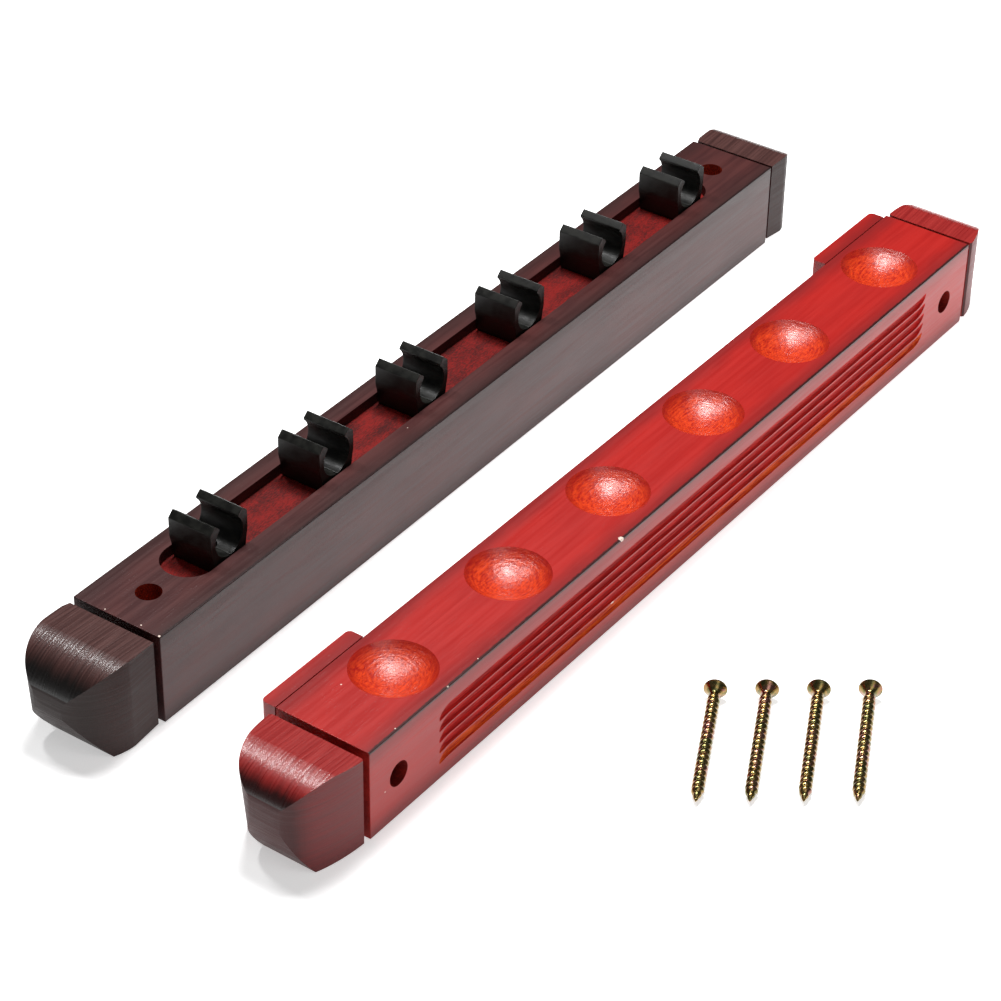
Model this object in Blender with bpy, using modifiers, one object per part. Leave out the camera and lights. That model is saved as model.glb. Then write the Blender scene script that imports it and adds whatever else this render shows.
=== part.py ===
"""Wall cue rack: a clip rail, a base rail and their four mounting screws, laid out on a surface.

The clip rail lies on its back with its clips up. The base rail stands on its underside with its cup
hollows up and its fluted front towards -Y. All lengths are metres, +Z is up, and +X runs along the rails.
Inside a rail's own frame, X starts at the near end face, Y at the front face and Z at the underside.
"""

import math

import bmesh
import bpy
from mathutils import Matrix, Vector

GAP = 0.0003  # clearance between touching pieces

# Rails
RAIL_LENGTH = 0.5225
RAIL_DEPTH = 0.0510
RAIL_HEIGHT = 0.0485
RAIL_ARRIS = 0.0008
BASE_RAIL_PLACE = (-0.0080, -0.1221, 0.0)
BASE_RAIL_TURN = math.radians(-0.68)

# End caps: a block rounded to a blunt nose, on a round tenon that enters the rail
# Near and far are the caps' lengths, and the tip is in shares of the depth and the height. For each side of a
# cap: the share of its length that is straight, then how fast and how bluntly it rounds off.
CLIP_RAIL_CAP = {
    "near": 0.0422, "far": 0.0305, "tip": (0.51, 0.49),
    "top": (0.43, 1.62, 2.55), "underside": (0.67, 1.0, 1.38),
    "front": (0.40, 1.63, 2.53), "back": (0.10, 2.67, 3.44),
}
BASE_RAIL_CAP = {
    "near": 0.0378, "far": 0.0272, "tip": (0.45, 0.60),
    "top": (0.42, 1.63, 3.13), "underside": (0.71, 1.0, 1.97),
    "front": (0.0, 1.40, 3.16), "back": (0.0, 1.94, 3.42),
}
NEAR_GROOVE = 0.0034
FAR_GROOVE = 0.0030
CAP_EDGE = 0.0012
CAP_STATIONS = 14
TENON_RADIUS = 0.0080
TENON_IN_RAIL = 0.0140
TENON_IN_CAP = 0.0060

# Channel in the clip rail
CHANNEL_START = 0.0384
CHANNEL_END = 0.4850
CHANNEL_WIDTH = 0.0275
CHANNEL_CENTRE = 0.0270
CHANNEL_FLOOR = RAIL_HEIGHT - 0.0060

# Clips, a little unevenly spaced along the channel; heights are from the clip rail's clip face
CLIP_PLACES = (0.0665, 0.1465, 0.2230, 0.3070, 0.3835, 0.4605)
CLIP_WIDTH = 0.0252
CLIP_HALF = 0.01315
CLIP_SHOULDER = 0.0175
CLIP_RIDGE = (0.00975, 0.0205)
CLIP_LIP_HALF = 0.0066
CLIP_LIP_TOP = 0.0179
CLIP_BELLY = 0.0090
CLIP_WAIST = (0.01135, -0.0015)
CLIP_FOOT_HALF = 0.0108
CLIP_FOOT = CHANNEL_FLOOR - RAIL_HEIGHT + GAP
BORE_RADIUS = 0.0098
BORE_CENTRE = 0.0096
HINGE_HEIGHT = 0.0040
HINGE_HALF = 0.0123
BORE_STEPS = 8

# Clip screws
CLIP_SCREW_SHANK = 0.0015
CLIP_SCREW_HEAD = 0.0031
CLIP_SCREW_HEAD_DROP = 0.0018
CLIP_SCREW_TOP = -0.0010
CLIP_SCREW_LENGTH = 0.0190

# Cup hollows and flutes in the base rail
CUP_RADIUS = 0.0203
CUP_DROP = 0.0080
CUP_PLACES = (0.0515, 0.1375, 0.2183, 0.3015, 0.3825, 0.4730)
CUP_CENTRE = 0.0268
FLUTE_START = 0.0490
FLUTE_END = 0.4780
FLUTE_LOWEST = 0.0121
FLUTE_PITCH = 0.0061
FLUTE_RADIUS = 0.0027
FLUTE_DROP = 0.0018
FLUTE_RUNOUT = 0.0080
FLUTE_COUNT = 5

# Stand-off blocks glued to the back of the base rail
BLOCK_LENGTH = 0.0615
FAR_BLOCK_START = 0.4585
BLOCK_THICKNESS = 0.0082
BLOCK_EDGE = 0.0016

# Mounting holes: a counterbore for the screw's head, then a clearance hole
HOLE_RADIUS = 0.0034
COUNTERBORE_RADIUS = 0.0063
COUNTERBORE_DEPTH = 0.0120
CLIP_RAIL_HOLES = (0.0225, 0.5005)
CLIP_RAIL_HOLE_CENTRE = 0.0258
BASE_RAIL_HOLES = (0.0202, 0.5000)
BASE_RAIL_HOLE_HEIGHT = 0.0235

# Mounting screws, lying side by side in front of the rails
SCREW_LENGTH = 0.0775
SCREW_SHANK = 0.0030
SCREW_HEAD = 0.0055
SCREW_HEAD_DROP = 0.0046
SCREW_DOME = 0.0016
SCREW_POINT = 0.0070
SCREW_TIP = 0.0004
SCREW_COUNT = 4
SCREW_FIRST_TIP = (0.0925, -0.2237)
SCREW_STEP = (0.0140, -0.0191)
SCREW_HEADING = math.radians(25.4)

COLOURS = {
    "dark_wood": ((0.085, 0.030, 0.030, 1.0), 0.38, 0.0),
    "red_wood": ((0.36, 0.030, 0.022, 1.0), 0.35, 0.0),
    "black_plastic": ((0.010, 0.010, 0.009, 1.0), 0.50, 0.0),
    "yellow_zinc": ((0.42, 0.29, 0.13, 1.0), 0.28, 1.0),
    "dark_steel": ((0.20, 0.20, 0.20, 1.0), 0.35, 1.0),
}


def clear_scene():
    for thing in list(bpy.data.objects):
        bpy.data.objects.remove(thing, do_unlink=True)


def new_collection(name):
    collection = bpy.data.collections.new(name)
    bpy.context.scene.collection.children.link(collection)
    return collection


def material(name):
    """One Principled material for each piece that asks for it."""
    colour, roughness, metallic = COLOURS[name]
    made = bpy.data.materials.new(name)
    made.use_nodes = True
    shader = made.node_tree.nodes["Principled BSDF"]
    shader.inputs["Base Color"].default_value = colour
    shader.inputs["Roughness"].default_value = roughness
    shader.inputs["Metallic"].default_value = metallic
    made.diffuse_color = colour
    return made


def empty(name, parent=None, place=(0.0, 0.0, 0.0), turn=(0.0, 0.0, 0.0)):
    guide = bpy.data.objects.new(name, None)
    PARTS.objects.link(guide)
    guide.parent = parent
    guide.location = place
    guide.rotation_euler = turn
    return guide


def part(name, mesh, finish, parent, place=(0.0, 0.0, 0.0), smooth=False):
    made = bpy.data.objects.new(name, mesh)
    PARTS.objects.link(made)
    made.parent = parent
    made.location = place
    mesh.materials.clear()
    mesh.materials.append(material(finish))
    if smooth:
        mesh.shade_smooth()
        mesh.set_sharp_from_angle(angle=math.radians(35.0))
    return made


def cutter(name, mesh, parent, place=(0.0, 0.0, 0.0)):
    guide = bpy.data.objects.new(name, mesh)
    CUTTERS.objects.link(guide)
    guide.parent = parent
    guide.location = place
    guide.hide_render = True
    guide.display_type = "WIRE"
    return guide


def boolean(target, tool, operation="DIFFERENCE"):
    modifier = target.modifiers.new(tool.name, "BOOLEAN")
    modifier.object = tool
    modifier.operation = operation


def bevel(target, width, segments=2):
    modifier = target.modifiers.new("arris", "BEVEL")
    modifier.width = width
    modifier.segments = segments


def box_mesh(name, low, high):
    """A box between two corners."""
    low, high = Vector(low), Vector(high)
    shape = bmesh.new()
    bmesh.ops.create_cube(shape, size=1.0)
    scale = Matrix.Diagonal((*(high - low), 1.0))
    bmesh.ops.transform(shape, matrix=Matrix.Translation((low + high) / 2) @ scale, verts=shape.verts)
    return finished_mesh(name, shape)


def cylinder_mesh(name, radius, start, end, sides=32):
    """A round bar between two points, which lie on a line along one axis."""
    start, end = Vector(start), Vector(end)
    shape = bmesh.new()
    bmesh.ops.create_cone(shape, cap_ends=True, segments=sides, radius1=radius, radius2=radius,
                          depth=(end - start).length)
    turn = Vector((0.0, 0.0, 1.0)).rotation_difference(end - start).to_matrix().to_4x4()
    bmesh.ops.transform(shape, matrix=Matrix.Translation((start + end) / 2) @ turn, verts=shape.verts)
    return finished_mesh(name, shape)


def sphere_mesh(name, radius, sides=32, rings=24):
    shape = bmesh.new()
    bmesh.ops.create_uvsphere(shape, u_segments=sides, v_segments=rings, radius=radius)
    return finished_mesh(name, shape)


def finished_mesh(name, shape):
    bmesh.ops.recalc_face_normals(shape, faces=shape.faces)
    mesh = bpy.data.meshes.new(name)
    shape.to_mesh(mesh)
    shape.free()
    return mesh


def mesh_from_curve(name, curve):
    """The curve's solid as a welded mesh, in the curve's own frame."""
    guide = bpy.data.objects.new(name, curve)
    CUTTERS.objects.link(guide)
    graph = bpy.context.evaluated_depsgraph_get()
    raw = bpy.data.meshes.new_from_object(guide.evaluated_get(graph))
    bpy.data.objects.remove(guide, do_unlink=True)
    shape = bmesh.new()
    shape.from_mesh(raw)
    bpy.data.meshes.remove(raw)
    bmesh.ops.remove_doubles(shape, verts=shape.verts, dist=0.00001)
    return finished_mesh(name, shape)


def slab_mesh(name, outline, thickness, upright=False):
    """A flat outline with a thickness, centred on its plane: XY, or XZ when upright."""
    curve = bpy.data.curves.new(name, "CURVE")
    curve.dimensions = "2D"
    curve.fill_mode = "BOTH"
    curve.extrude = thickness / 2
    spline = curve.splines.new("POLY")
    spline.points.add(len(outline) - 1)
    for point, (across, up) in zip(spline.points, outline):
        point.co = (across, up, 0.0, 1.0)
    spline.use_cyclic_u = True
    mesh = mesh_from_curve(name, curve)
    if upright:
        mesh.transform(Matrix.Rotation(math.pi / 2, 4, "X"))
    return mesh


def turned_part(name, profile, finish, parent, sides=24):
    """A turned piece about its own Z axis; the profile runs down its outer side, top to bottom."""
    shape = bmesh.new()
    points = [shape.verts.new((radius, 0.0, height)) for radius, height in profile]
    for upper, lower in zip(points, points[1:]):
        shape.edges.new((upper, lower))
    mesh = bpy.data.meshes.new(name)
    shape.to_mesh(mesh)
    shape.free()
    made = part(name, mesh, finish, parent)
    screw = made.modifiers.new("turn", "SCREW")
    screw.axis = "Z"
    screw.steps = sides
    screw.render_steps = sides
    screw.use_merge_vertices = True
    screw.merge_threshold = 0.00001
    screw.use_smooth_shade = True
    return made


def arc(centre, radius, start, end, steps):
    """Points on an arc, angles in radians from +X towards +Y."""
    angles = [start + (end - start) * i / steps for i in range(steps + 1)]
    return [(centre[0] + radius * math.cos(a), centre[1] + radius * math.sin(a)) for a in angles]


def nose(straight, fast, blunt):
    """Shares of a nose's length, with its profile's height at each: 1 where it is straight, then down to 0."""
    rounding = [math.sin(math.pi / 2 * i / CAP_STATIONS) for i in range(CAP_STATIONS + 1)]
    return [(straight + (1.0 - straight) * s, max(0.0, 1.0 - s**fast) ** (1.0 / blunt)) for s in rounding]


def nose_outline(length, size, tip, low_side, high_side, outward, root=0.0):
    """A nose from a face of the given size, its tip at a height across that face; root extends it backwards."""
    high = [(s * length, tip + (size - tip) * h) for s, h in nose(*high_side)]
    low = [(s * length, tip - tip * h) for s, h in nose(*low_side)[:-1]]
    high[0] = (max(high[0][0], CAP_EDGE), size)
    low[0] = (max(low[0][0], CAP_EDGE), 0.0)
    start = [(-root, size - CAP_EDGE - root), (0.0, size - CAP_EDGE)]
    end = [(0.0, CAP_EDGE), (-root, CAP_EDGE + root)]
    if not root:
        start, end = start[1:], end[:1]
    return [(outward * x, y) for x, y in start + high + low[::-1] + end]


def end_cap(name, shape, finish, parent, face, outward):
    """A nose in the upright plane crossed with a nose in the level plane, and the tenon behind it."""
    length = shape["far"] if outward > 0 else shape["near"]
    tip_depth = shape["tip"][0] * RAIL_DEPTH
    tip_height = shape["tip"][1] * RAIL_HEIGHT
    side = nose_outline(length, RAIL_HEIGHT, tip_height, shape["underside"], shape["top"], outward)
    plan = nose_outline(length + GAP, RAIL_DEPTH, tip_depth, shape["front"], shape["back"], outward, GAP)
    upright = slab_mesh(name, side, 2 * RAIL_DEPTH, upright=True)
    level = slab_mesh(name + "_plan", plan, 2 * RAIL_HEIGHT)
    start = face + outward * (FAR_GROOVE if outward > 0 else NEAR_GROOVE)
    cap = part(name, upright, finish, parent, (start, RAIL_DEPTH / 2, 0.0), smooth=True)
    boolean(cap, cutter(name + "_plan", level, parent, (start, 0.0, RAIL_HEIGHT / 2)), "INTERSECT")
    middle = (RAIL_DEPTH / 2, RAIL_HEIGHT / 2)
    inner = face - outward * TENON_IN_RAIL
    tenon = cutter(name + "_tenon", cylinder_mesh(name + "_tenon", TENON_RADIUS, (inner, *middle),
                                                  (start + outward * TENON_IN_CAP, *middle)), parent)
    boolean(cap, tenon, "UNION")
    return cap


def tenon_socket(rail, parent, face, outward):
    middle = (RAIL_DEPTH / 2, RAIL_HEIGHT / 2)
    name = rail.name + ("_socket_far" if outward > 0 else "_socket_near")
    deep = face - outward * (TENON_IN_RAIL + 2 * GAP)
    socket = cylinder_mesh(name, TENON_RADIUS + GAP, (deep, *middle), (face + outward * GAP, *middle))
    boolean(rail, cutter(name, socket, parent))


def stepped_hole(target, parent, name, place, direction, length):
    """A clearance hole all the way from place along direction, with a counterbore at its mouth."""
    place, direction = Vector(place), Vector(direction)
    mouth = place - direction * GAP
    through = cylinder_mesh(name, HOLE_RADIUS, mouth, place + direction * (length + GAP), sides=24)
    counterbore = cylinder_mesh(name + "_counterbore", COUNTERBORE_RADIUS, mouth,
                                place + direction * COUNTERBORE_DEPTH)
    boolean(target, cutter(name, through, parent))
    boolean(target, cutter(name + "_counterbore", counterbore, parent))


def rail_block(name, finish, parent):
    block = part(name, box_mesh(name, (0.0, 0.0, 0.0), (RAIL_LENGTH, RAIL_DEPTH, RAIL_HEIGHT)), finish, parent)
    bevel(block, RAIL_ARRIS)
    tenon_socket(block, parent, 0.0, -1)
    tenon_socket(block, parent, RAIL_LENGTH, 1)
    return block


def clip_rail(parent):
    rail = rail_block("clip_rail", "dark_wood", parent)
    radius = CHANNEL_WIDTH / 2
    near = arc((CHANNEL_START + radius, 0.0), radius, math.pi / 2, 3 * math.pi / 2, 16)
    far = arc((CHANNEL_END - radius, 0.0), radius, -math.pi / 2, math.pi / 2, 16)
    height = RAIL_HEIGHT - CHANNEL_FLOOR
    channel = slab_mesh("channel", near + far, 2 * height)
    boolean(rail, cutter("channel", channel, parent, (0.0, CHANNEL_CENTRE, RAIL_HEIGHT)))
    for i, x in enumerate(CLIP_PLACES):
        top = (x, CHANNEL_CENTRE, CHANNEL_FLOOR + GAP)
        bottom = (x, CHANNEL_CENTRE, RAIL_HEIGHT + CLIP_SCREW_TOP - CLIP_SCREW_LENGTH - GAP)
        name = f"clip_pilot_{i + 1}"
        boolean(rail, cutter(name, cylinder_mesh(name, CLIP_SCREW_SHANK + GAP, bottom, top, sides=16), parent))
    for x, end in zip(CLIP_RAIL_HOLES, ("near", "far")):
        stepped_hole(rail, parent, "clip_rail_hole_" + end, (x, CLIP_RAIL_HOLE_CENTRE, RAIL_HEIGHT),
                     (0.0, 0.0, -1.0), RAIL_HEIGHT)
    return rail


def bore_angle(height):
    """Angle on the bore, measured on its +X side, at a height over the clip face."""
    return math.asin((height - BORE_CENTRE) / BORE_RADIUS)


def clip_base_mesh():
    """The foot and the rounded bottom of a clip, up to its two hinge lines."""
    top = HINGE_HEIGHT - GAP / 2
    left = math.pi - bore_angle(top)
    right = 2 * math.pi + bore_angle(top)
    bottom = arc((0.0, BORE_CENTRE), BORE_RADIUS, left, right, BORE_STEPS)
    outside = [(HINGE_HALF, top), CLIP_WAIST, (CLIP_FOOT_HALF, CLIP_FOOT)]
    mirrored = [(-x, z) for x, z in reversed(outside)]
    return slab_mesh("clip_base", bottom + outside + mirrored, CLIP_WIDTH, upright=True)


def clip_jaw_mesh(side):
    """One springy arm of a clip, from its hinge line to the lip, placed about the hinge line."""
    bottom = HINGE_HEIGHT + GAP / 2
    lip = math.acos(CLIP_LIP_HALF / BORE_RADIUS)
    inside = arc((0.0, BORE_CENTRE), BORE_RADIUS, lip, bore_angle(bottom), BORE_STEPS)
    outline = inside + [(HINGE_HALF, bottom), (CLIP_HALF, CLIP_BELLY), (CLIP_HALF, CLIP_SHOULDER), CLIP_RIDGE,
                        (CLIP_LIP_HALF, CLIP_LIP_TOP)]
    placed = [(side * (x - HINGE_HALF), z - HINGE_HEIGHT) for x, z in outline]
    return slab_mesh("clip_jaw", placed, CLIP_WIDTH, upright=True)


def clip(parent, number, x):
    """A clip: its base, two jaws that bend outwards, and the screw through its base."""
    centre = empty(f"clip_{number}", parent, (x, CHANNEL_CENTRE, RAIL_HEIGHT))
    base = part(f"clip_base_{number}", clip_base_mesh(), "black_plastic", centre)
    bore = cylinder_mesh("clip_hole", CLIP_SCREW_SHANK + GAP, (0.0, 0.0, CLIP_FOOT - GAP), (0.0, 0.0, 0.001), 16)
    boolean(base, cutter(f"clip_hole_{number}", bore, centre))
    sink = bmesh.new()
    depth = CLIP_SCREW_HEAD_DROP + GAP
    bmesh.ops.create_cone(sink, cap_ends=True, segments=24, radius1=CLIP_SCREW_SHANK + GAP,
                          radius2=CLIP_SCREW_HEAD + 2 * GAP, depth=depth)
    low = CLIP_SCREW_TOP - CLIP_SCREW_HEAD_DROP - GAP
    bmesh.ops.translate(sink, vec=(0.0, 0.0, low + depth / 2), verts=sink.verts)
    boolean(base, cutter(f"clip_sink_{number}", finished_mesh("clip_sink", sink), centre))
    mouth = cylinder_mesh("clip_mouth", CLIP_SCREW_HEAD + 2 * GAP, (0.0, 0.0, low + depth - GAP / 10),
                          (0.0, 0.0, 0.001), 24)
    boolean(base, cutter(f"clip_mouth_{number}", mouth, centre))
    for side, end in ((-1, "near"), (1, "far")):
        part(f"clip_jaw_{number}_{end}", clip_jaw_mesh(side), "black_plastic", centre,
             (side * HINGE_HALF, 0.0, HINGE_HEIGHT))
    clip_screw(centre, number)


def clip_screw(parent, number):
    top = CLIP_SCREW_TOP
    neck = top - CLIP_SCREW_HEAD_DROP
    tip = top - CLIP_SCREW_LENGTH
    profile = [(0.0, top), (CLIP_SCREW_HEAD, top), (CLIP_SCREW_SHANK, neck), (CLIP_SCREW_SHANK, tip + 0.003),
               (SCREW_TIP, tip), (0.0, tip)]
    turned_part(f"clip_screw_{number}", profile, "dark_steel", parent, sides=16)


def base_rail(parent):
    rail = rail_block("base_rail", "red_wood", parent)
    ball = (CUP_RADIUS**2 + CUP_DROP**2) / (2 * CUP_DROP)
    for i, x in enumerate(CUP_PLACES):
        name = f"cup_{i + 1}"
        place = (x, CUP_CENTRE, RAIL_HEIGHT + ball - CUP_DROP)
        boolean(rail, cutter(name, sphere_mesh(name, ball), parent, place))
    for i in range(FLUTE_COUNT):
        flute(rail, parent, i)
    for x, end in zip(BASE_RAIL_HOLES, ("near", "far")):
        stepped_hole(rail, parent, "base_rail_hole_" + end, (x, 0.0, BASE_RAIL_HOLE_HEIGHT),
                     (0.0, 1.0, 0.0), RAIL_DEPTH)
    return rail


def flute(rail, parent, index):
    """A shallow round groove along the front face, tapered out at both ends."""
    name = f"flute_{index + 1}"
    curve = bpy.data.curves.new(name, "CURVE")
    curve.dimensions = "3D"
    curve.bevel_depth = FLUTE_RADIUS
    curve.bevel_resolution = 4
    curve.use_fill_caps = True
    spline = curve.splines.new("POLY")
    spline.points.add(3)
    inset = FLUTE_RADIUS - FLUTE_DROP
    stations = (FLUTE_START - FLUTE_RUNOUT, FLUTE_START + FLUTE_RUNOUT, FLUTE_END - FLUTE_RUNOUT,
                FLUTE_END + FLUTE_RUNOUT)
    for point, x, depth in zip(spline.points, stations, (-1.0, 1.0, 1.0, -1.0)):
        point.co = (x, -inset - (0.0 if depth > 0 else FLUTE_DROP * 2), 0.0, 1.0)
    height = FLUTE_LOWEST + index * FLUTE_PITCH
    boolean(rail, cutter(name, mesh_from_curve(name, curve), parent, (0.0, 0.0, height)))


def stand_off_block(parent, name, start, hole):
    """A block behind the base rail that holds it off the wall; the mounting screw passes through it."""
    low = (start, RAIL_DEPTH + GAP, 0.0)
    high = (start + BLOCK_LENGTH, RAIL_DEPTH + GAP + BLOCK_THICKNESS, RAIL_HEIGHT)
    block = part(name, box_mesh(name, low, high), "red_wood", parent)
    bevel(block, BLOCK_EDGE)
    bore = cylinder_mesh(name, HOLE_RADIUS, (hole, RAIL_DEPTH, BASE_RAIL_HOLE_HEIGHT),
                         (hole, RAIL_DEPTH + BLOCK_THICKNESS + 2 * GAP, BASE_RAIL_HOLE_HEIGHT), sides=24)
    boolean(block, cutter(name + "_hole", bore, parent))


def caps(parent, prefix, length, finish):
    end_cap(prefix + "_cap_near", length, finish, parent, 0.0, -1)
    end_cap(prefix + "_cap_far", length, finish, parent, RAIL_LENGTH, 1)


def mounting_screw(parent, number):
    """A countersunk screw, lying so that its head's rim and its point rest on the surface."""
    shoulder = SCREW_LENGTH - SCREW_DOME
    dome = arc((0.0, shoulder), 1.0, math.pi / 2, 0.0, 4)
    head = [(SCREW_HEAD * x, shoulder + SCREW_DOME * (z - shoulder)) for x, z in dome]
    head[0] = (0.0, SCREW_LENGTH)
    profile = head + [(SCREW_HEAD, shoulder - 0.0006), (SCREW_SHANK, shoulder - SCREW_HEAD_DROP),
                      (SCREW_SHANK, SCREW_POINT), (SCREW_SHANK * 0.75, SCREW_POINT / 2), (SCREW_TIP, 0.0),
                      (0.0, 0.0)]
    droop = math.asin((SCREW_HEAD - SCREW_SHANK) / (shoulder - SCREW_POINT))
    height = SCREW_SHANK * math.cos(droop) - SCREW_POINT * math.sin(droop)
    place = (SCREW_FIRST_TIP[0] + number * SCREW_STEP[0], SCREW_FIRST_TIP[1] + number * SCREW_STEP[1], height)
    tip = empty(f"mounting_screw_{number + 1}_tip", parent, place, (0.0, math.pi / 2 - droop, SCREW_HEADING))
    turned_part(f"mounting_screw_{number + 1}", profile, "yellow_zinc", tip)


def centre_on_floor(root):
    """Moves the whole rack so that the middle of its footprint is the origin."""
    bpy.context.view_layer.update()
    graph = bpy.context.evaluated_depsgraph_get()
    corners = []
    for thing in PARTS.objects:
        if thing.type == "MESH":
            shown = thing.evaluated_get(graph)
            corners += [shown.matrix_world @ v.co for v in shown.data.vertices]
    low = [min(c[axis] for c in corners) for axis in range(3)]
    high = [max(c[axis] for c in corners) for axis in range(3)]
    root.location = (-(low[0] + high[0]) / 2, -(low[1] + high[1]) / 2, -low[2])


def build():
    rack = empty("rack")
    upper = empty("clip_rail_frame", rack)
    clip_rail(upper)
    caps(upper, "clip_rail", CLIP_RAIL_CAP, "dark_wood")
    for i, x in enumerate(CLIP_PLACES):
        clip(upper, i + 1, x)
    lower = empty("base_rail_frame", rack, BASE_RAIL_PLACE, (0.0, 0.0, BASE_RAIL_TURN))
    base_rail(lower)
    caps(lower, "base_rail", BASE_RAIL_CAP, "red_wood")
    stand_off_block(lower, "stand_off_near", 0.0, BASE_RAIL_HOLES[0])
    stand_off_block(lower, "stand_off_far", FAR_BLOCK_START, BASE_RAIL_HOLES[1])
    for number in range(SCREW_COUNT):
        mounting_screw(rack, number)
    centre_on_floor(rack)


clear_scene()
PARTS = new_collection("wall_cue_rack")
CUTTERS = new_collection("cutters")
build()
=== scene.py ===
"""Looks of the wall cue rack: two stained rails, six spring clips and four mounting screws on a pale floor.

Each rail's wooden pieces are built in the rail's own frame: X from the near end face, Y from the front
face, Z from the underside. Metres throughout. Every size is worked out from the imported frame's boxes or
named below.
"""

import math

import bmesh
import bpy
from mathutils import Matrix, Vector


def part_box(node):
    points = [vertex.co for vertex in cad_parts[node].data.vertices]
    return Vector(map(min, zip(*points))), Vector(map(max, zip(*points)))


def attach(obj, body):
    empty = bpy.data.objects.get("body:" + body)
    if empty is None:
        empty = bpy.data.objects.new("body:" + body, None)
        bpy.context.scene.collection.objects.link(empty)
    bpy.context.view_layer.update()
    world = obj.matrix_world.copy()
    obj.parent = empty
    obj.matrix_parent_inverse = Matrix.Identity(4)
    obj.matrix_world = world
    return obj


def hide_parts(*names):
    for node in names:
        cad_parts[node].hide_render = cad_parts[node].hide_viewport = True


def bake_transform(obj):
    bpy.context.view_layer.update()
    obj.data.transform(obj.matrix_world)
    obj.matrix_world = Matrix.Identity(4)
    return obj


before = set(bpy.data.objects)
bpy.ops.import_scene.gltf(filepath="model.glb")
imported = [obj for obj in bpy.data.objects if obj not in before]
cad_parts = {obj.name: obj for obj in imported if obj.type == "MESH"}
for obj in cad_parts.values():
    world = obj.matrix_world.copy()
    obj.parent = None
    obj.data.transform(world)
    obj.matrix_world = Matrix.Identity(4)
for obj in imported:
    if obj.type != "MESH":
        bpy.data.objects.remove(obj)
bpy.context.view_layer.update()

HAIR = 0.00002  # keeps faces of cutters off the faces they cut

# Rails
CLIP_RAIL_LOW, CLIP_RAIL_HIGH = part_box("clip_rail")
LENGTH, DEPTH, HEIGHT = CLIP_RAIL_HIGH - CLIP_RAIL_LOW
BASE_TURN = math.radians(-0.68)
BASE_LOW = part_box("base_rail")[0]
BASE_ORIGIN = (BASE_LOW.x, BASE_LOW.y - LENGTH * math.sin(BASE_TURN), BASE_LOW.z)
CLIP_FRAME = Matrix.Translation(CLIP_RAIL_LOW)
BASE_FRAME = Matrix.Translation(BASE_ORIGIN) @ Matrix.Rotation(BASE_TURN, 4, "Z")
ARRIS = 0.0004  # how far the bodies' edges are rounded
MIDDLE = (DEPTH / 2, HEIGHT / 2)

# End caps
NEAR_GROOVE = 0.0034
FAR_GROOVE = 0.0030
TENON_RADIUS = 0.0080
TENON_REACH = 0.0140
TENON_ROOT = 0.0060  # how deep the tenon is set in the cap
SOCKET_SLACK = 0.0003
SOCKET_DEPTH = 0.0146
SAND_RUN = 0.10  # share of a cap's length over which the sanded corner starts
SAND_INSET = 0.26  # how far it goes in, as a share of the rail's depth
SPARE = 0.0100  # how far crossed outlines reach past each other
CAP_STATIONS = 40
CAP_EDGE = 0.0010
CREASE = 0.0004

# Mounting holes
HOLE_RADIUS = 0.0034
COUNTERBORE_RADIUS = 0.0063
COUNTERBORE_DEPTH = 0.0120
CLIP_RAIL_HOLES = (0.0225, 0.5005)
CLIP_RAIL_HOLE_CENTRE = 0.0258
BASE_RAIL_HOLES = (0.0202, 0.5000)
BASE_RAIL_HOLE_HEIGHT = 0.0235

# Channel of the clip rail
CHANNEL_START = 0.0384
CHANNEL_END = 0.4850
CHANNEL_WIDTH = 0.0275
CHANNEL_CENTRE = 0.0270
CHANNEL_DEPTH = 0.0060

# Cups and flutes of the base rail
CUP_RADIUS = 0.0203
CUP_DROP = 0.0080
CUP_BALL = (CUP_RADIUS**2 + CUP_DROP**2) / (2 * CUP_DROP)
CUP_PLACES = (0.0515, 0.1375, 0.2183, 0.3015, 0.3825, 0.4730)
CUP_CENTRE = 0.0268
FLUTE_START = 0.0490
FLUTE_END = 0.4780
FLUTE_LOWEST = 0.0121
FLUTE_PITCH = 0.0061
FLUTE_RADIUS = 0.0029
FLUTE_DROP = 0.0018
FLUTE_RUNOUT = 0.0110
FLUTE_HOOK = 0.0038
FLUTE_COUNT = 5

# Stand-off blocks
BLOCK_LENGTH = 0.0615
FAR_BLOCK_START = 0.4585
BLOCK_THICKNESS = 0.0082
BLOCK_GAP = 0.0003
BLOCK_EDGE = 0.0002
BLOCK_CORNER = 0.0028

# Clips: heights are from the clip rail's clip face
CLIP_COUNT = 6
CLIP_WIDTH = 0.0252
CLIP_HALF = 0.01315
CLIP_SHOULDER = 0.0175
CLIP_RIDGE = (0.00975, 0.0205)
CLIP_LIP = (0.0066, 0.0179)
CLIP_BELLY = 0.0090
CLIP_WAIST = (0.01135, -0.0015)
CLIP_FOOT = (0.0108, -0.0057)
CLIP_EDGE = 0.00035
BORE_RADIUS = 0.0098
BORE_CENTRE = 0.0096
HINGE_HALF = 0.0123
HINGE_HEIGHT = 0.0040
CLIP_SPLIT = 0.00003
SCREW_HOLE_RADIUS = 0.0018
SINK_RADIUS = 0.0037
SINK_TOP = -0.0010
SINK_FOOT = -0.0030

# Screws
MOUNTING_SCREW = {"length": 0.0775, "crest": 0.0030, "core": 0.00235, "head": 0.0055, "drop": 0.0046,
                  "dome": 0.0016, "pitch": 0.0035, "point": 0.0070}
CLIP_SCREW = {"length": 0.0190, "crest": 0.0015, "core": 0.0011, "head": 0.0031, "drop": 0.0015,
              "dome": 0.0003, "pitch": 0.0013, "point": 0.0030}
CLIP_SCREW_PILOT = 0.0145
SCREW_HEADING = math.radians(25.4)
HEAD_RIM = 0.0006  # the head's straight rim, under its dome

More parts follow.
